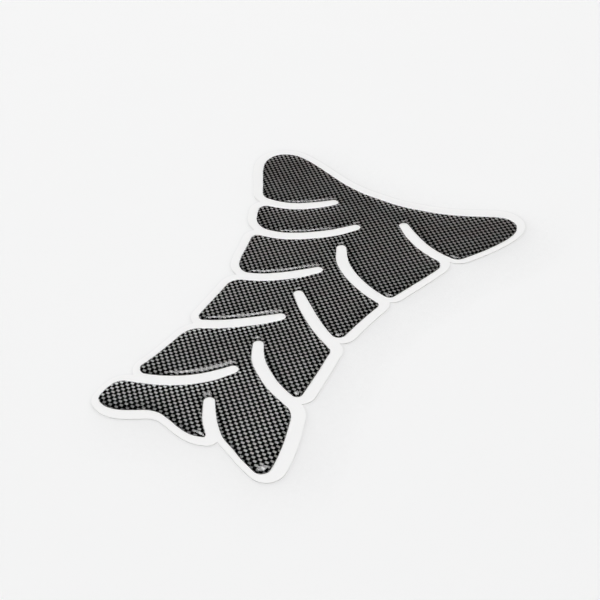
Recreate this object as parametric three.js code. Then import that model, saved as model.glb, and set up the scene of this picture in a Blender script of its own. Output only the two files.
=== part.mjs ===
// A motorcycle tank pad: a fish-bone shaped, carbon-look sticker under a clear poured resin
// dome, still on the release liner that is peeled off before it goes on the tank.
//
// Millimetres. The pad lies face up: +Z is up, +Y runs along the spine to the wide head, and
// the origin is the middle of the liner's underside.

import * as THREE from "three";

// Thickness of each layer, from the bottom up.
const LINER_THICKNESS = 0.3;
const ADHESIVE_THICKNESS = 0.15;
const FILM_THICKNESS = 0.25;
const DOME_HEIGHT = 1.2;

// The dome rises from the film's edge to its full height over this width.
const DOME_SHOULDER = 2.5;
const SHOULDER_STEPS = 4;

// The slots between the ribs are a little narrower at their round ends, and widen to their
// full width over the taper's length.
const SLOT_WIDTH = 5.7;
const SLOT_END_WIDTH = 4.8;
const SLOT_TAPER = 10;

// The liner reaches this far past the pad, whose outline was printed a little askew on it.
const LINER_RIM = 4.3;
const LINER_TURN = THREE.MathUtils.degToRad(0.8);
const LINER_SHIFT = new THREE.Vector2(0.2, 0.7);

// The pad's edge as it would run without slots: a smooth line through these points, clockwise
// from the sharp corner of the tail and back to it.
const EDGE = [
  [41.5, -109.2],
  [35, -107.1],
  [28, -104.5],
  [20.5, -101],
  [15, -100.4],
  [10, -102.2],
  [4, -103.7],
  [-3, -102.8],
  [-9, -101.1],
  [-14, -100.3],
  [-19, -101.4],
  [-25, -104.8],
  [-30.5, -107.3],
  [-36, -107.9],
  [-40.2, -106],
  [-41, -101],
  [-39.8, -94],
  [-37.5, -86],
  [-35, -77],
  [-33.4, -67],
  [-32.3, -57],
  [-32.6, -45],
  [-32.8, -32],
  [-33, -20],
  [-34.8, -9],
  [-38, 0],
  [-40.6, 11],
  [-43.4, 20],
  [-48, 30],
  [-52, 39],
  [-56.4, 49.4],
  [-62.7, 60],
  [-67, 67.1],
  [-69.6, 73.6],
  [-69.6, 78.6],
  [-67.4, 83],
  [-63, 86],
  [-57.5, 87.3],
  [-50.1, 86.1],
  [-40.1, 82.8],
  [-30, 78.7],
  [-20, 75.2],
  [-9, 72.9],
  [2, 72.2],
  [11, 72],
  [20, 73.2],
  [32, 75.6],
  [42, 79],
  [52, 83.6],
  [58, 86.2],
  [63.5, 87.2],
  [68.1, 84.8],
  [69.9, 80.2],
  [69.2, 74.6],
  [66.8, 68.2],
  [62.7, 60],
  [57.2, 51],
  [52.6, 44.4],
  [49, 37.8],
  [46.4, 29.9],
  [43, 20.5],
  [39.6, 11],
  [36.4, 2.5],
  [34.2, -6],
  [32.4, -16],
  [31.1, -26],
  [30.6, -38],
  [31.6, -50],
  [32.2, -61],
  [33, -71],
  [35.6, -80],
  [38.6, -89.5],
  [40.6, -99],
  [41.5, -109.2],
];
const TAIL_CORNER_RADIUS = 4;

// The slots, clockwise as the edge is. Each middle line runs smoothly through its points, from
// the centre of the slot's round end out past the edge. The radii round the two corners
// where the slot's sides leave the edge, also clockwise.
const SLOTS = [
  { middle: [[0.7, -85.4], [5.6, -92.7], [10.2, -97.6], [16.7, -103.3]], radii: [14, 1.2] },
  {
    middle: [[-0.6, -65.4], [-6.6, -73.2], [-13.9, -79.5], [-22.4, -84.5], [-31.1, -87.9], [-44, -91.5]],
    radii: [7, 3.4],
  },
  { middle: [[0.2, -27.7], [-6.8, -34.1], [-14.7, -40.3], [-23.1, -45.8], [-38, -53]], radii: [9, 2.6] },
  { middle: [[-1, 8.6], [-7.6, 1.8], [-15.4, -4.5], [-24.2, -9.7], [-40, -15]], radii: [6, 6] },
  {
    middle: [[-0.5, 45.9], [-7.2, 37.9], [-14.9, 31.4], [-23.3, 25.9], [-32.7, 22.1], [-50, 19.9]],
    radii: [2.8, 11],
  },
  { middle: [[-19.9, 59.1], [-27.1, 52.7], [-35.6, 47.2], [-45.3, 44.2], [-58, 43.6]], radii: [4, 6.5] },
  { middle: [[19.9, 58.4], [27.1, 52.5], [35.7, 47.4], [45.2, 44.2], [57, 42.8]], radii: [5, 3.6] },
  {
    middle: [[1, 28.3], [6.2, 19.7], [13.7, 13], [22.4, 8.1], [31, 4.8], [44, 1.8]],
    radii: [3.6, 2],
  },
  { middle: [[-0.4, -10.4], [6.5, -16.7], [14.3, -23], [22.6, -28.5], [37, -36]], radii: [3.6, 2.6] },
  { middle: [[0.8, -47.4], [5.7, -55.4], [13.5, -61.9], [22.3, -66.9], [40, -73.2]], radii: [2.6, 8] },
];

// Curves are first drawn in fine steps. Straight pieces then replace them that stay this
// close to the curve. Moved lines are trimmed to within the smaller tolerance, and the place
// where one meets itself is looked for among this many points on either side.
const FINE_STEP = 0.4;
const CHORD_ERROR = 0.05;
const TRIM_ERROR = 0.0001;
const TRIM_STEPS = 8;
const LONGEST_CHORD = 8;
const CORNER_STEPS = 12;

const vector = ([x, y]) => new THREE.Vector2(x, y);

const cyclic = (list, i) => list[(i + list.length) % list.length];

const direction = (from, to) => to.clone().sub(from).normalize();

const leftOf = (heading) => new THREE.Vector2(-heading.y, heading.x);

const lengthOf = (line) =>
  line.slice(1).reduce((total, spot, i) => total + spot.distanceTo(line[i]), 0);

function distanceToLine({ x, y }, from, to) {
  const width = to.x - from.x;
  const height = to.y - from.y;
  const along = (x - from.x) * width + (y - from.y) * height;
  const share = THREE.MathUtils.clamp(along / (width ** 2 + height ** 2), 0, 1);
  return Math.hypot(x - from.x - share * width, y - from.y - share * height);
}

function distanceToRing(spot, ring) {
  let least = Infinity;
  for (let i = 0; i < ring.length; i++) {
    least = Math.min(least, distanceToLine(spot, ring[i], cyclic(ring, i + 1)));
  }
  return least;
}

// Where the line from a to b meets the line from c to d, if it does.
function meeting(a, b, c, d) {
  const first = b.clone().sub(a);
  const second = d.clone().sub(c);
  const between = c.clone().sub(a);
  const scale = first.cross(second);
  const onFirst = between.cross(second) / scale;
  const onSecond = between.cross(first) / scale;
  const meets = onFirst >= 0 && onFirst <= 1 && onSecond >= 0 && onSecond <= 1;
  return meets ? a.clone().addScaledVector(first, onFirst) : null;
}

const inFineSteps = (curve) => curve.getSpacedPoints(Math.ceil(curve.getLength() / FINE_STEP));

function smoothEdge() {
  const curve = new THREE.CatmullRomCurve3(EDGE.map(([x, y]) => new THREE.Vector3(x, y, 0)));
  curve.arcLengthDivisions = EDGE.length * CORNER_STEPS;
  return inFineSteps(curve).map(({ x, y }) => new THREE.Vector2(x, y));
}

// The sides of a slot, each from the tip towards the mouth and then straight on by twice the
// slot's width, and the round end that leads from the left side to the right one.
function slotSides({ middle }) {
  const curve = new THREE.SplineCurve(middle.map(vector));
  const spots = inFineSteps(curve);
  const side = (sign) => {
    const line = spots.map((spot, i) => {
      const share = i / (spots.length - 1);
      const widening = THREE.MathUtils.smoothstep(share * curve.getLength(), 0, SLOT_TAPER);
      const width = THREE.MathUtils.lerp(SLOT_END_WIDTH, SLOT_WIDTH, widening);
      const sideways = leftOf(curve.getTangentAt(share));
      return spot.clone().addScaledVector(sideways, (sign * width) / 2);
    });
    const beyond = line.at(-1).clone().addScaledVector(curve.getTangentAt(1), 2 * SLOT_WIDTH);
    return [...line, beyond];
  };
  const left = side(1);
  const right = side(-1);
  const end = [];
  for (let i = 1; i < CORNER_STEPS; i++) {
    end.push(left[0].clone().rotateAround(spots[0], (Math.PI * i) / CORNER_STEPS));
  }
  return { left, end, right };
}

// The part of a slot's side that lies inside the edge, and where it meets the edge.
function insideEdge(side, edge) {
  for (let i = 0; i + 1 < side.length; i++) {
    for (let j = 0; j + 1 < edge.length; j++) {
      const spot = meeting(side[i], side[i + 1], edge[j], edge[j + 1]);
      if (spot) return { line: [...side.slice(0, i + 1), spot], place: j };
    }
  }
  throw new Error("a slot never leaves the pad");
}

// The stretches of the edge between the slots, and the slots, in clockwise order.
function cutEdge() {
  const edge = smoothEdge();
  const lines = [];
  let start = [edge[0]];
  let passed = 1;
  for (const slot of SLOTS) {
    const { left, end, right } = slotSides(slot);
    const inward = insideEdge(left, edge);
    const outward = insideEdge(right, edge);
    lines.push([...start, ...edge.slice(passed, inward.place + 1), inward.line.at(-1)]);
    lines.push([...inward.line.toReversed(), ...end, ...outward.line]);
    start = [outward.line.at(-1)];
    passed = outward.place + 1;
  }
  lines.push([...start, ...edge.slice(passed)]);
  return lines;
}

// A line with a length taken off its end.
function shortened(line, length) {
  const rest = [...line];
  let left = length;
  while (rest.at(-1).distanceTo(rest.at(-2)) < left) {
    left -= rest.pop().distanceTo(rest.at(-1));
  }
  const last = rest.pop();
  rest.push(last.clone().addScaledVector(direction(last, rest.at(-1)), left));
  return rest;
}

// Joins lines end to end into a ring, with a round corner between each and the next.
function roundedRing(lines, radii) {
  const trimmed = [...lines];
  const corners = radii.map((wanted, i) => {
    const line = trimmed[i];
    const next = cyclic(trimmed, i + 1);
    const turn = direction(line.at(-2), line.at(-1)).angleTo(direction(next[0], next[1]));
    const room = Math.min(lengthOf(lines[i]), lengthOf(cyclic(lines, i + 1))) / 2 - FINE_STEP;
    const radius = Math.min(wanted, room / Math.tan(turn / 2));
    const before = shortened(line, radius * Math.tan(turn / 2));
    const after = shortened(next.toReversed(), radius * Math.tan(turn / 2));
    trimmed[i] = before;
    trimmed[(i + 1) % trimmed.length] = after.toReversed();
    const handle = (4 / 3) * Math.tan(turn / 4) * radius;
    const control = (rest) =>
      rest.at(-1).clone().addScaledVector(direction(rest.at(-2), rest.at(-1)), handle);
    return new THREE.CubicBezierCurve(before.at(-1), control(before), control(after), after.at(-1));
  });
  return corners.flatMap((corner, i) => {
    return [...trimmed[i], ...corner.getPoints(CORNER_STEPS).slice(1, -1)];
  });
}

const withoutRepeats = (ring) => ring.filter((spot, i) => !spot.equals(cyclic(ring, i - 1)));

// The ring with only the points that it needs to stay within the chord error.
function thinned(ring) {
  const kept = [ring[0]];
  let start = 0;
  for (let end = 2; end <= ring.length; end++) {
    const from = ring[start];
    const to = cyclic(ring, end);
    const passed = ring.slice(start + 1, end);
    const strays = passed.some((spot) => distanceToLine(spot, from, to) > CHORD_ERROR);
    if (strays || from.distanceTo(to) > LONGEST_CHORD) {
      start = end - 1;
      kept.push(ring[start]);
    }
  }
  return kept;
}

// Where a moved ring meets itself, near the points from start up to end that overshot.
function loopMeeting(moved, start, end) {
  for (let reach = 0; reach < TRIM_STEPS; reach++) {
    for (let back = 0; back <= reach; back++) {
      const first = start - back;
      const last = end + reach - back;
      const before = cyclic(moved, first - 1);
      const after = cyclic(moved, last - 1);
      const spot = meeting(before, cyclic(moved, first), after, cyclic(moved, last));
      if (spot) return { spot, first, last };
    }
  }
  const spot = cyclic(moved, start - 1).clone().lerp(cyclic(moved, end), 0.5);
  return { spot, first: start, last: end };
}

// An anticlockwise ring moved outwards by a distance, or inwards by a negative one. The points
// that would overshoot, at a tight corner or across a narrow slot, gather where the moved
// ring meets itself.
function offset(ring, distance) {
  const moved = ring.map((spot, i) => {
    const arriving = direction(cyclic(ring, i - 1), spot);
    const leaving = direction(spot, cyclic(ring, i + 1));
    const outward = leftOf(arriving.add(leaving)).negate().normalize();
    const slant = -outward.dot(leftOf(leaving));
    return spot.clone().addScaledVector(outward, distance / slant);
  });
  const nearest = Math.abs(distance) - TRIM_ERROR;
  const strays = moved.map((spot) => distanceToRing(spot, ring) < nearest);
  const first = strays.indexOf(false);
  for (let start = first; start < first + ring.length; start++) {
    let end = start;
    while (cyclic(strays, end)) end++;
    if (end === start) continue;
    const { spot, first, last } = loopMeeting(moved, start, end);
    for (let i = first; i < last; i++) moved[(i + ring.length) % ring.length] = spot;
    start = last;
  }
  return moved;
}

const slab = (ring, thickness) =>
  new THREE.ExtrudeGeometry(new THREE.Shape(ring), { depth: thickness, bevelEnabled: false });

const atHeight = (ring, height) => ring.map(({ x, y }) => new THREE.Vector3(x, y, height));

// The poured dome: its side rises in a quarter of an ellipse from the ring to a flat top.
function poured(ring) {
  const rings = [atHeight(ring, 0)];
  for (let step = 1; step <= SHOULDER_STEPS; step++) {
    const angle = (Math.PI / 2) * (step / SHOULDER_STEPS);
    const inset = DOME_SHOULDER * (1 - Math.cos(angle));
    rings.push(atHeight(offset(ring, -inset), DOME_HEIGHT * Math.sin(angle)));
  }
  const corners = [];
  const addTriangle = (...spots) => {
    const [a, b, c] = spots;
    if (!a.equals(b) && !b.equals(c) && !c.equals(a)) corners.push(...spots);
  };
  for (let level = 0; level < SHOULDER_STEPS; level++) {
    const [lower, upper] = rings.slice(level);
    for (let i = 0; i < ring.length; i++) {
      addTriangle(lower[i], cyclic(lower, i + 1), cyclic(upper, i + 1));
      addTriangle(lower[i], cyclic(upper, i + 1), upper[i]);
    }
  }
  const bottom = rings[0];
  for (const [a, b, c] of THREE.ShapeUtils.triangulateShape(bottom, [])) {
    addTriangle(bottom[c], bottom[b], bottom[a]);
  }
  const top = withoutRepeats(rings.at(-1));
  for (const [a, b, c] of THREE.ShapeUtils.triangulateShape(top, [])) {
    addTriangle(top[a], top[b], top[c]);
  }
  const geometry = new THREE.BufferGeometry().setFromPoints(corners);
  geometry.computeVertexNormals();
  return geometry;
}

function layer(name, base, geometry, finish) {
  const mesh = new THREE.Mesh(geometry, new THREE.MeshStandardMaterial(finish));
  mesh.name = name;
  mesh.position.z = base;
  return mesh;
}

const radii = [...SLOTS.flatMap((slot) => slot.radii), TAIL_CORNER_RADIUS];
const fineOutline = roundedRing(cutEdge(), radii).reverse();
const padOutline = thinned(fineOutline);
const linerOutline = thinned(withoutRepeats(offset(fineOutline, LINER_RIM))).map((spot) =>
  spot.clone().rotateAround(new THREE.Vector2(), LINER_TURN).add(LINER_SHIFT),
);

const adhesiveBase = LINER_THICKNESS;
const filmBase = adhesiveBase + ADHESIVE_THICKNESS;
const domeBase = filmBase + FILM_THICKNESS;

const liner = layer("release_liner", 0, slab(linerOutline, LINER_THICKNESS), {
  color: 0xf4f4f1,
  roughness: 0.55,
  metalness: 0,
});

const tankPad = new THREE.Group();
tankPad.add(
  liner,
  layer("adhesive_layer", adhesiveBase, slab(padOutline, ADHESIVE_THICKNESS), {
    color: 0xe8e6dc,
    roughness: 0.6,
    metalness: 0,
  }),
  layer("carbon_film", filmBase, slab(padOutline, FILM_THICKNESS), {
    color: 0x2b2c2e,
    roughness: 0.4,
    metalness: 0,
  }),
  layer("resin_dome", domeBase, poured(padOutline), {
    color: 0xf6f8fa,
    roughness: 0.04,
    metalness: 0,
    transparent: true,
    opacity: 0.25,
  }),
);

// The liner is the widest layer, so the whole pad is centred by it.
liner.geometry.computeBoundingBox();
const middle = liner.geometry.boundingBox.getCenter(new THREE.Vector3());
tankPad.position.set(-middle.x, -middle.y, 0);

export default tankPad;
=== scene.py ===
"""The looks of a motorcycle tank pad: a printed carbon-look film under a poured clear dome,
lying on its paper liner on a pale floor.

Lengths are in metres, unless a name ends in _MM.
"""

import math

import bpy
import numpy as np
from mathutils import Matrix, Vector, kdtree
from mathutils.geometry import delaunay_2d_cdt


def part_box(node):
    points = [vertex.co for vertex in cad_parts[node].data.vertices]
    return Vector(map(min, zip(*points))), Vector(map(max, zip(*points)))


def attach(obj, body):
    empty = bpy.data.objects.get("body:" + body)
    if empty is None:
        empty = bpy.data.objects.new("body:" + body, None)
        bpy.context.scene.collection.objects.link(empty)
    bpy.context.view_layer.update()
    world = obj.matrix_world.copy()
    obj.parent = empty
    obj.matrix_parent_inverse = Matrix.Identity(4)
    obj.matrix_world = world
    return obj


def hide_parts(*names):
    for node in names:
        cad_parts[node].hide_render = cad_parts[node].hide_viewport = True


MM = 0.001

# The camera: an image of 600 by 600, seen with a focal length of 997.5 of its pixels.
IMAGE_SIZE = 600
FOCAL_PIXELS = 997.5
SENSOR_WIDTH_MM = 36
CAMERA_PLACE = Vector((178.36, -294.0, 300.6)) * MM
CAMERA_TARGET = Vector((3.2, -4.4, 0.6)) * MM
CAMERA_ROLL = math.radians(-1.87)
CAMERA_CLIP_START = 10 * MM

# Round softboxes, each with its place to the right, to the back and up as the camera sees it,
# its radius, its brightness and the kind of light ray that meets it. The first lights paper and
# floor, the second lights the film through the resin, and the resin mirrors the third.
SOFTBOXES = {
    "key_softbox": ((-0.4, 0.8, 6.0), 2.4, 5.3, "diffuse"),
    "film_softbox": ((-0.4, 0.8, 5.8), 2.32, 8.5, "transmission"),
    "near_softbox": ((0.0, -0.035, 0.35), 0.127, 2.6, "glossy"),
}
BACKDROP_BRIGHTNESS = 0.915
FILL_BRIGHTNESS = 0.25
INNER_FILL_BRIGHTNESS = 0.04

FLOOR_SIZE = 6
FLOOR_GAP = 0.02 * MM
FLOOR_TONE = 0.95
FLOOR_ROUGHNESS = 0.8
FLOOR_UNEVENNESS = 0.1
FLOOR_GRAIN = 40 * MM

# The floor lies in two kinds of soft shade, each with the direction that the object blocks, how
# far off it may be, how many rays look for it, and how much darker the floor is there.
SHADE_AROUND = ((0, 0, 1), 20 * MM, 24, 0.058)
SIDE_SHADE = ((-0.97, 0.24, 0.15), 28 * MM, 12, 0.085)

# The printed weave: the widths of its lengthwise and crosswise threads, how far each kind is
# turned on the pad, and where a thread of each lies, in thread widths.
LENGTHWISE_WIDTH = 1.469 * MM
CROSSWISE_WIDTH = 1.487 * MM
LENGTHWISE_TURN = math.radians(2.0)
CROSSWISE_TURN = math.radians(2.6)
LENGTHWISE_START = -0.469
CROSSWISE_START = 0.629

# A light patch and a black one: half their width in thread widths, and half their height in
# half rows. The power rounds their corners. They are whole up to the first fade value and gone
# at the second, where 1 is the edge. Going up a row, the light patches lean left by the slant,
# and the black ones lie further left by the lead, both in thread widths.
LIGHT_PATCH = (0.62, 0.66)
BLACK_PATCH = (0.49, 1.23)
PATCH_POWER = 3.0
PATCH_FADE = (0.6, 1.3)
PATCH_SLANT = 0.33
BLACK_LEAD = 0.1

# The tones of the print and of the film's cut sides, how much a light patch brightens towards
# its right, what share black takes away, and how fine fibres vary the whole.
LIGHT_TONE = 0.52
MIDDLE_TONE = 0.062
LIGHT_SWELL = 0.35
BLACK_DEPTH = 0.985
FIBRE_LENGTH = 1.6 * MM
FIBRE_WIDTH = 0.12 * MM
FIBRE_GLOW = 0.6
FIBRE_GLOW_FROM = 0.7
SIDE_TONE = 0.004

# The lighter the print, the smoother the film.
FILM_METALLIC = 0.65
FILM_ROUGHNESS = 0.42
FILM_SMOOTHING = -0.1
FILM_SPECULAR = 0.1
FILM_RELIEF = 0.05 * MM

# The liner's paper has fibres, of a width, a length and a turn, and clouds. Both darken it.
LINER_LIGHT = (0.955, 0.953, 0.95, 1)
LINER_DARK = (0.75, 0.75, 0.74, 1)
LINER_FIBRES = (0.5 * MM, 1.1 * MM, 0.6)
LINER_FIBRES_SHARE = 0.05
LINER_CLOUDS = 14 * MM
LINER_CLOUDS_SHARE = 0.03
LINER_ROUGHNESS = 0.45
LINER_UNEVENNESS = 0.15
LINER_SPECULAR = 0.3
LINER_RELIEF = 0.02 * MM
LINER_RELIEF_SHARE = 0.6

ADHESIVE_DARK = (0.78, 0.77, 0.72, 1)
ADHESIVE_LIGHT = (0.84, 0.83, 0.8, 1)
ADHESIVE_CLOUDS = 1.5 * MM
ADHESIVE_ROUGHNESS = 0.35
ADHESIVE_UNEVENNESS = 0.2
ADHESIVE_RELIEF = 0.01 * MM
ADHESIVE_RELIEF_SHARE = 0.5

# The resin's surface swells very faintly, and its haze makes it a little rough in places. The
# coat mirrors more than resin does, so that soft highlights come out without grain.
RESIN_COLOUR = (0.985, 0.99, 0.99, 1)
RESIN_IOR = 1.49
RESIN_HAZE = 6 * MM
RESIN_HAZE_ROUGHNESS = 0.03
RESIN_SWELL = 18 * MM
RESIN_SWELL_RELIEF = 0.08 * MM
RESIN_SWELL_SHARE = 0.5
COAT_IOR = 1.9
COAT_ROUGHNESS = 0.03

# The poured dome. Its surface pulls up from the film's edge as a liquid does, and is flat
# beyond a few times the meniscus length.
MENISCUS_MM = 1.25
DOME_INSET_MM = 0.04
DOME_SINK = 0.05 * MM
SETTLING_ROUNDS = 8
SETTLING_STEPS = 40

# The dome's mesh: points along its rim, which is smoothed in fine steps first, rings of points
# at growing distances inside it, and a grid over the rest. No two points lie closer than the
# least gap.
FLATNESS_MM = 0.01
FINE_SPACING_MM = 0.1
RIM_SMOOTHING_MM = 0.3
RIM_SPACING_MM = 0.45
INSETS_MM = [0.14, 0.32, 0.6, 0.95, 1.4, 1.95, 2.6]
WHOLE_RINGS = 2
INSET_ERROR_MM = 0.03
LEAST_GAP_MM = 0.12
GRID_SPACING_MM = 1.2
WELD_MM = 1e-6


class Shader:
    """The nodes of one material, made one by one."""

    def __init__(self, name):
        self.material = bpy.data.materials.new(name)
        self.material.use_nodes = True
        self.tree = self.material.node_tree
        self.tree.nodes.clear()

    def add(self, kind, inputs=None, **settings):
        node = self.tree.nodes.new("ShaderNode" + kind)
        for name, value in settings.items():
            setattr(node, name, value)
        for name, value in (inputs or {}).items():
            self.set(node.inputs[name], value)
        return node

    def set(self, socket, value):
        if isinstance(value, bpy.types.NodeSocket):
            self.tree.links.new(value, socket)
        else:
            socket.default_value = value

    def math(self, operation, *values):
        inputs = dict(enumerate(values))
        return self.add("Math", inputs, operation=operation).outputs["Value"]

    def fade(self, value, start, end):
        """0 up to start, 1 from end on, and smooth between."""
        inputs = {"Value": value, "From Min": start, "From Max": end}
        node = self.add("MapRange", inputs, interpolation_type="SMOOTHSTEP")
        return node.outputs["Result"]

    def mix(self, share, first, second):
        inputs = {"Factor": share, "A": first, "B": second}
        return self.add("Mix", inputs).outputs["Result"]

    def grey(self, value):
        """A grey of this brightness."""
        inputs = {"Red": value, "Green": value, "Blue": value}
        return self.add("CombineColor", inputs).outputs["Color"]

    def noise(self, place, size, detail=2.0):
        inputs = {"Vector": place, "Scale": 1 / size, "Detail": detail}
        return self.add("TexNoise", inputs).outputs["Fac"]

    def bump(self, height, depth, share=1.0):
        inputs = {"Height": height, "Distance": depth, "Strength": share}
        return self.add("Bump", inputs).outputs["Normal"]

    def finish(self, surface):
        output = self.add("OutputMaterial")
        self.tree.links.new(surface.outputs[0], output.inputs["Surface"])
        return self.material


def object_place(shader):
    return shader.add("TexCoord").outputs["Object"]


def stretched(shader, place, across, along, turn=0.0):
    """The place with its x and y divided by two lengths, after a turn about z."""
    turned = shader.add("Mapping", {"Vector": place, "Rotation": (0, 0, turn)}).outputs["Vector"]
    scale = (1 / across, 1 / along, 1 / across)
    return shader.add("Mapping", {"Vector": turned, "Scale": scale}).outputs["Vector"]


def patch(shader, across, along, half_width, half_height):
    """1 inside a rounded rectangle, fading to 0 at its edge."""
    powers = [
        shader.math("POWER", shader.math("DIVIDE", distance, half), PATCH_POWER)
        for distance, half in ((across, half_width), (along, half_height))
    ]
    outside = shader.fade(shader.math("ADD", *powers), *PATCH_FADE)
    return shader.math("SUBTRACT", 1.0, outside)


def thread_count(shader, place, width, turn, start, axis):
    """How many thread widths a place lies along x or y, turned about z."""
    along = Matrix.Rotation(turn, 3, "Z").col[axis] / width
    inputs = {0: place, 1: along}
    product = shader.add("VectorMath", inputs, operation="DOT_PRODUCT").outputs["Value"]
    return shader.math("ADD", product, start)


def swing(shader, value):
    """Rises from -1 after an even number, through 0 at an odd one, to 1 at the next even one."""
    turn = shader.math("FRACT", shader.math("MULTIPLY", value, 0.5))
    return shader.math("MULTIPLY_ADD", turn, 2.0, -1.0)


def weave_brightness(shader):
    """The printed weave: light crosswise threads and black lengthwise ones, one over the other
    by turns."""
    place = object_place(shader)
    column = thread_count(shader, place, LENGTHWISE_WIDTH, LENGTHWISE_TURN, LENGTHWISE_START, 0)
    row = thread_count(shader, place, CROSSWISE_WIDTH, CROSSWISE_TURN, CROSSWISE_START, 1)
    height = shader.math("SUBTRACT", shader.math("FRACT", row), 0.5)
    shifted = shader.math("ADD", column, shader.math("FLOOR", row))
    slanted = shader.math("MULTIPLY_ADD", height, PATCH_SLANT, shifted)
    # From 0 in the middle of the row to 1 at its border.
    along = shader.math("MULTIPLY", shader.math("ABSOLUTE", height), 2.0)

    on_light = swing(shader, slanted)
    light = patch(shader, shader.math("ABSOLUTE", on_light), along, *LIGHT_PATCH)
    swell = shader.math("MULTIPLY_ADD", on_light, LIGHT_SWELL, 1.0)
    light = shader.math("MULTIPLY", light, swell)
    from_light = shader.math("ABSOLUTE", swing(shader, shader.math("ADD", shifted, BLACK_LEAD)))
    from_black = shader.math("SUBTRACT", 1.0, from_light)
    from_next_row = shader.math("SUBTRACT", 2.0, along)
    black = shader.math(
        "MAXIMUM",
        patch(shader, from_black, along, *BLACK_PATCH),
        patch(shader, from_light, from_next_row, *BLACK_PATCH),
    )

    drawn_out = stretched(shader, place, FIBRE_LENGTH, FIBRE_WIDTH, -CROSSWISE_TURN)
    fibres = shader.noise(drawn_out, 1.0, detail=3.0)
    glow = shader.math("MULTIPLY_ADD", fibres, FIBRE_GLOW, FIBRE_GLOW_FROM)
    bright = shader.math("MULTIPLY_ADD", light, LIGHT_TONE - MIDDLE_TONE, MIDDLE_TONE)
    shaded = shader.math("MULTIPLY_ADD", black, -BLACK_DEPTH, 1.0)
    return shader.math("MULTIPLY", shader.math("MULTIPLY", bright, shaded), glow)


def film_material():
    shader = Shader("carbon_film")
    printed = weave_brightness(shader)
    normal = shader.add("NewGeometry").outputs["Normal"]
    facing = shader.add("SeparateXYZ", {"Vector": normal}).outputs["Z"]
    on_top = shader.math("GREATER_THAN", facing, 0.5)
    surface = shader.add(
        "BsdfPrincipled",
        {
            "Base Color": shader.grey(shader.mix(on_top, SIDE_TONE, printed)),
            "Metallic": FILM_METALLIC,
            "Roughness": shader.math("MULTIPLY_ADD", printed, FILM_SMOOTHING, FILM_ROUGHNESS),
            "Specular IOR Level": FILM_SPECULAR,
            "Normal": shader.bump(printed, FILM_RELIEF),
        },
    )
    return shader.finish(surface)


def liner_material():
    shader = Shader("release_liner")
    place = object_place(shader)
    fibres = shader.noise(stretched(shader, place, *LINER_FIBRES), 1.0, detail=4.0)
    clouds = shader.noise(place, LINER_CLOUDS)
    by_fibres = shader.math("MULTIPLY", fibres, LINER_FIBRES_SHARE)
    darker = shader.math("MULTIPLY_ADD", clouds, LINER_CLOUDS_SHARE, by_fibres)
    paper = shader.add("MixRGB", {"Fac": darker, "Color1": LINER_LIGHT, "Color2": LINER_DARK})
    surface = shader.add(
        "BsdfPrincipled",
        {
            "Base Color": paper.outputs["Color"],
            "Roughness": shader.math("MULTIPLY_ADD", fibres, LINER_UNEVENNESS, LINER_ROUGHNESS),
            "Specular IOR Level": LINER_SPECULAR,
            "Normal": shader.bump(fibres, LINER_RELIEF, LINER_RELIEF_SHARE),
        },
    )
    return shader.finish(surface)


def adhesive_material():
    shader = Shader("adhesive")
    place = object_place(shader)
    clouds = shader.noise(place, ADHESIVE_CLOUDS, detail=3.0)
    tint = shader.add(
        "MixRGB", {"Fac": clouds, "Color1": ADHESIVE_DARK, "Color2": ADHESIVE_LIGHT}
    )
    surface = shader.add(
        "BsdfPrincipled",
        {
            "Base Color": tint.outputs["Color"],
            "Roughness": shader.math(
                "MULTIPLY_ADD", clouds, ADHESIVE_UNEVENNESS, ADHESIVE_ROUGHNESS
            ),
            "Normal": shader.bump(clouds, ADHESIVE_RELIEF, ADHESIVE_RELIEF_SHARE),
        },
    )
    return shader.finish(surface)


def resin_material():
    shader = Shader("clear_resin")
    place = object_place(shader)
    swell = shader.noise(place, RESIN_SWELL, detail=1.0)
    haze = shader.noise(place, RESIN_HAZE, detail=3.0)
    surface = shader.add(
        "BsdfPrincipled",
        {
            "Base Color": RESIN_COLOUR,
            "Roughness": shader.math("MULTIPLY", haze, RESIN_HAZE_ROUGHNESS),
            "IOR": RESIN_IOR,
            "Transmission Weight": 1.0,
            "Coat Weight": 1.0,
            "Coat Roughness": COAT_ROUGHNESS,
            "Coat IOR": COAT_IOR,
            "Normal": shader.bump(swell, RESIN_SWELL_RELIEF, RESIN_SWELL_SHARE),
        },
    )
    return shader.finish(surface)


def soft_shade(shader, towards, reach, tries, depth):
    """The depth wherever one of a few rays about a direction meets something within reach. It
    does so more often close to the object, so the shade fades away from it."""
    node = shader.add("AmbientOcclusion", samples=tries)
    normal = shader.add("CombineXYZ", dict(zip("XYZ", Vector(towards).normalized())))
    shader.set(node.inputs["Normal"], normal.outputs["Vector"])
    shader.set(node.inputs["Distance"], reach)
    blocked = shader.math("SUBTRACT", 1.0, node.outputs["AO"])
    return shader.math("MULTIPLY", shader.math("GREATER_THAN", blocked, 0.5 / tries), depth)


def floor_material():
    """Pale paper, with the soft shade that the object casts all round and to one side."""
    shader = Shader("floor")
    grain = shader.noise(object_place(shader), FLOOR_GRAIN)
    shade = shader.math("ADD", soft_shade(shader, *SHADE_AROUND), soft_shade(shader, *SIDE_SHADE))
    surface = shader.add(
        "BsdfPrincipled",
        {
            "Base Color": shader.grey(shader.math("MULTIPLY_ADD", shade, -FLOOR_TONE, FLOOR_TONE)),
            "Roughness": shader.math("MULTIPLY_ADD", grain, FLOOR_UNEVENNESS, FLOOR_ROUGHNESS),
            "Specular IOR Level": 0.0,
        },
    )
    return shader.finish(surface)


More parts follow.
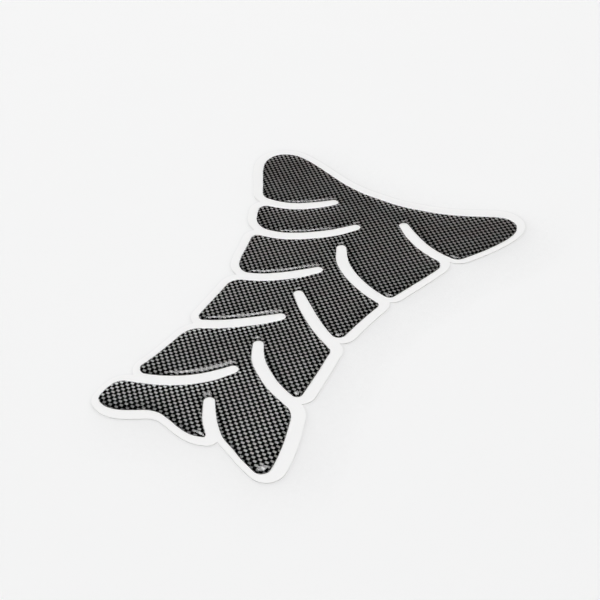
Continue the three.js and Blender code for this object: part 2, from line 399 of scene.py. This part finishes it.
def underside_outline(node):
    """The outline of a node's flat underside, anticlockwise, in millimetres."""
    mesh = node.data
    lowest = min(vertex.co.z for vertex in mesh.vertices)
    following = {}
    for polygon in mesh.polygons:
        corners = [mesh.vertices[i].co for i in polygon.vertices]
        if max(corner.z for corner in corners) > lowest + FLATNESS_MM * MM:
            continue
        keys = [(round(corner.x / MM, 4), round(corner.y / MM, 4)) for corner in corners]
        for start, end in zip(keys, keys[1:] + keys[:1]):
            # Faces look down, so their sides run clockwise, and inner sides cancel out.
            if following.get(start, {}).pop(end, None) is None:
                following.setdefault(end, {})[start] = True
    start = next(key for key, ends in following.items() if ends)
    ring = [start]
    while True:
        ring.append(next(iter(following[ring[-1]])))
        if ring[-1] == start:
            return np.array(ring[:-1])


def evenly_spaced(ring, spacing):
    """The closed line through the ring, as points at an even spacing."""
    closed = np.vstack([ring, ring[:1]])
    places = np.concatenate([[0], np.cumsum(np.hypot(*np.diff(closed, axis=0).T))])
    count = round(places[-1] / spacing)
    wanted = np.linspace(0, places[-1], count, endpoint=False)
    return np.stack([np.interp(wanted, places, closed[:, axis]) for axis in (0, 1)], axis=1)


def smoothed(ring, spacing, reach):
    """The ring with the corners between its chords rounded off."""
    # Beyond four times the reach the weights are next to nothing.
    last = round(4 * reach / spacing)
    steps = np.arange(-last, last + 1)
    weights = np.exp(-0.5 * (steps * spacing / reach) ** 2)
    rolled = sum(w * np.roll(ring, -step, axis=0) for step, w in zip(steps, weights))
    return rolled / weights.sum()


def inward_normals(ring):
    ahead = np.roll(ring, -1, axis=0) - np.roll(ring, 1, axis=0)
    ahead /= np.hypot(*ahead.T)[:, None]
    return np.stack([-ahead[:, 1], ahead[:, 0]], axis=1)


def grid_inside(ring, spacing):
    """Points of a triangular grid that lie inside the ring."""
    ends = np.roll(ring, -1, axis=0)
    points = []
    row_height = spacing * math.sqrt(3) / 2
    for row, y in enumerate(np.arange(ring[:, 1].min(), ring[:, 1].max(), row_height)):
        crossed = (ring[:, 1] > y) != (ends[:, 1] > y)
        start = ring[crossed]
        run = ends[crossed] - start
        hits = np.sort(start[:, 0] + run[:, 0] * (y - start[:, 1]) / run[:, 1])
        for left, right in hits.reshape(-1, 2):
            first = math.ceil(left / spacing - row % 2 / 2)
            last = math.floor(right / spacing - row % 2 / 2)
            points += [((i + row % 2 / 2) * spacing, y) for i in range(first, last + 1)]
    return points


def tree_of(points):
    tree = kdtree.KDTree(len(points))
    for i, (x, y) in enumerate(points):
        tree.insert((x, y, 0), i)
    tree.balance()
    return tree


def dome_points(outline):
    """The rim's points, rings of points inside it, and a grid over the rest."""
    even = evenly_spaced(outline, FINE_SPACING_MM)
    fine = smoothed(even, FINE_SPACING_MM, RIM_SMOOTHING_MM)
    fine = fine + DOME_INSET_MM * inward_normals(fine)
    rim = evenly_spaced(fine, RIM_SPACING_MM)
    to_rim = tree_of(fine)
    points = [tuple(spot) for spot in rim]
    rim_normals = inward_normals(rim)
    for number, inset in enumerate(INSETS_MM):
        # The rings further in take every second place, by turns.
        step = 1 if number < WHOLE_RINGS else 2
        kept = []
        taken = tree_of(points)
        for x, y in (rim + inset * rim_normals)[number % step :: step]:
            clear = to_rim.find((x, y, 0))[2] > inset - INSET_ERROR_MM
            if clear and taken.find((x, y, 0))[2] > LEAST_GAP_MM:
                kept.append((x, y))
        points += kept
    taken = tree_of(points)
    for x, y in grid_inside(rim, GRID_SPACING_MM):
        deep = to_rim.find((x, y, 0))[2] > INSETS_MM[-1]
        if deep and taken.find((x, y, 0))[2] > GRID_SPACING_MM / 2:
            points.append((x, y))
    depths = np.array([to_rim.find((x, y, 0))[2] for x, y in points])
    return np.array(points), len(rim), depths


def triangles_inside(points, rim_count):
    """Triangles over the points, inside the rim that the first of them make."""
    rim = list(range(rim_count))
    spots = [Vector(point) for point in points]
    found = delaunay_2d_cdt(spots, [], [rim], 1, WELD_MM)
    places, triangles, origins = found[0], found[2], found[3]
    assert len(places) == len(points)
    names = [origin[0] for origin in origins]
    return np.array([[names[corner] for corner in triangle] for triangle in triangles])


def steepness(points, triangles, heights):
    """How much larger each triangle is than its shadow on the ground."""
    (a, b, c), (low, left, right) = points[triangles.T], heights[triangles.T]
    first, second = b - a, c - a
    area = first[:, 0] * second[:, 1] - first[:, 1] * second[:, 0]
    slope_x = ((left - low) * second[:, 1] - (right - low) * first[:, 1]) / area
    slope_y = ((right - low) * first[:, 0] - (left - low) * second[:, 0]) / area
    return np.sqrt(1 + slope_x**2 + slope_y**2)


def settled_heights(points, triangles, rim_count, depths, full_height):
    """How high a liquid stands at each point, when it clings to the rim and levels out over
    the meniscus length."""
    coupling = np.zeros(0)
    pairs = np.zeros((0, 2), int)
    areas = np.zeros(len(points))
    for turn in range(3):
        a, b, c = (points[triangles[:, (turn + k) % 3]] for k in range(3))
        first, second = a - c, b - c
        double_area = first[:, 0] * second[:, 1] - first[:, 1] * second[:, 0]
        cotangent = (first * second).sum(axis=1) / np.abs(double_area)
        coupling = np.concatenate([coupling, cotangent / 2])
        pairs = np.vstack([pairs, triangles[:, [turn, (turn + 1) % 3]]])
        areas += np.bincount(triangles[:, turn], np.abs(double_area) / 6, len(points))
    start, end = pairs.T
    pull = areas / MENISCUS_MM**2
    heights = full_height * (1 - np.exp(-depths / MENISCUS_MM))
    for _ in range(SETTLING_ROUNDS):
        held = coupling / np.tile(steepness(points, triangles, heights), 3)
        total = pull + np.bincount(start, held, len(points))
        total += np.bincount(end, held, len(points))
        for _ in range(SETTLING_STEPS):
            summed = np.bincount(start, held * heights[end], len(points))
            summed += np.bincount(end, held * heights[start], len(points))
            heights = (summed + pull * full_height) / total
            heights[:rim_count] = 0
    return heights


def make_dome(material):
    low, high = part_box("resin_dome")
    outline = underside_outline(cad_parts["resin_dome"])
    points, rim_count, depths = dome_points(outline)
    triangles = triangles_inside(points, rim_count)
    heights = settled_heights(points, triangles, rim_count, depths, (high.z - low.z) / MM)

    base = low.z
    top = [(x * MM, y * MM, base + h * MM) for (x, y), h in zip(points, heights)]
    below = [(x * MM, y * MM, base - DOME_SINK) for x, y in points[:rim_count]]
    count = len(top)
    faces = [tuple(map(int, triangle)) for triangle in triangles]
    smooth_count = len(faces)
    for i in range(rim_count):
        j = (i + 1) % rim_count
        faces.append((i, count + i, count + j, j))
    for a, b, c in triangles_inside(points[:rim_count], rim_count):
        faces.append((count + int(c), count + int(b), count + int(a)))

    mesh = bpy.data.meshes.new("poured_dome")
    mesh.from_pydata(top + below, [], faces)
    shading = [i < smooth_count for i in range(len(faces))]
    mesh.polygons.foreach_set("use_smooth", shading)
    mesh.materials.append(material)
    dome = bpy.data.objects.new("poured_dome", mesh)
    bpy.context.collection.objects.link(dome)
    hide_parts("resin_dome")
    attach(dome, "root")


def dress(name, material):
    """A CAD node with its finish."""
    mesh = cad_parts[name].data
    mesh.materials.clear()
    mesh.materials.append(material)


def add_floor():
    half = FLOOR_SIZE / 2
    corners = [(-half, -half), (half, -half), (half, half), (-half, half)]
    mesh = bpy.data.meshes.new("floor")
    mesh.from_pydata([(x, y, -FLOOR_GAP) for x, y in corners], [], [(0, 1, 2, 3)])
    mesh.materials.append(floor_material())
    floor = bpy.data.objects.new("floor", mesh)
    bpy.context.collection.objects.link(floor)


def add_camera():
    data = bpy.data.cameras.new("camera")
    data.sensor_width = SENSOR_WIDTH_MM
    data.lens = FOCAL_PIXELS / IMAGE_SIZE * SENSOR_WIDTH_MM
    data.clip_start = CAMERA_CLIP_START
    camera = bpy.data.objects.new("camera", data)
    towards = CAMERA_TARGET - CAMERA_PLACE
    turn = towards.to_track_quat("-Z", "Y").to_matrix() @ Matrix.Rotation(CAMERA_ROLL, 3, "Z")
    camera.matrix_world = Matrix.Translation(CAMERA_PLACE) @ turn.to_4x4()
    bpy.context.collection.objects.link(camera)
    bpy.context.scene.camera = camera
    return camera


def add_softboxes(camera):
    right = camera.matrix_world.to_3x3().col[0].normalized()
    back = Vector((0, 0, 1)).cross(right)
    for name, ((rightward, backward, height), radius, brightness, met_by) in SOFTBOXES.items():
        data = bpy.data.lights.new(name, "AREA")
        data.shape = "DISK"
        data.size = 2 * radius
        data.energy = math.pi * brightness * math.pi * radius**2
        lamp = bpy.data.objects.new(name, data)
        place = right * rightward + back * backward + Vector((0, 0, height))
        turn = (-place).to_track_quat("-Z", "Y").to_matrix().to_4x4()
        lamp.matrix_world = Matrix.Translation(place) @ turn
        lamp.visible_camera = False
        lamp.visible_diffuse = met_by == "diffuse"
        lamp.visible_glossy = met_by == "glossy"
        lamp.visible_transmission = met_by == "transmission"
        bpy.context.collection.objects.link(lamp)


def add_studio():
    """A room that looks pale, and is dimmer to the resin, the film and the paper in it."""
    world = bpy.data.worlds.new("studio")
    world.use_nodes = True
    tree = world.node_tree
    tree.nodes.clear()
    rays = tree.nodes.new("ShaderNodeLightPath").outputs
    output = tree.nodes.new("ShaderNodeOutputWorld")
    shade = None
    kinds = [
        (None, FILL_BRIGHTNESS),
        ("Is Glossy Ray", 0.0),
        ("Is Transmission Ray", INNER_FILL_BRIGHTNESS),
        ("Is Camera Ray", BACKDROP_BRIGHTNESS),
    ]
    for kind, brightness in kinds:
        background = tree.nodes.new("ShaderNodeBackground")
        background.inputs["Color"].default_value = (brightness, brightness, brightness, 1)
        if kind is None:
            shade = background.outputs[0]
            continue
        mixed = tree.nodes.new("ShaderNodeMixShader")
        tree.links.new(rays[kind], mixed.inputs[0])
        tree.links.new(shade, mixed.inputs[1])
        tree.links.new(background.outputs[0], mixed.inputs[2])
        shade = mixed.outputs[0]
    tree.links.new(shade, output.inputs["Surface"])
    bpy.context.scene.world = world


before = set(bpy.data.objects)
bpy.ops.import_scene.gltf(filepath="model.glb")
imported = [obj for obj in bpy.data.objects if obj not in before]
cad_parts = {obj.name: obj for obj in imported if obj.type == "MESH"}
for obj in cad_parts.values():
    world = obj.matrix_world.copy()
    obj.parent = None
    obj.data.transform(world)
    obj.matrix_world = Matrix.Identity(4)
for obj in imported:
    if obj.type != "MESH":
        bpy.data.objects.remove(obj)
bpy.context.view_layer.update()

dress("release_liner", liner_material())
dress("adhesive_layer", adhesive_material())
dress("carbon_film", film_material())
make_dome(resin_material())

add_floor()
add_softboxes(add_camera())
add_studio()
bpy.context.scene.view_settings.view_transform = "Standard"
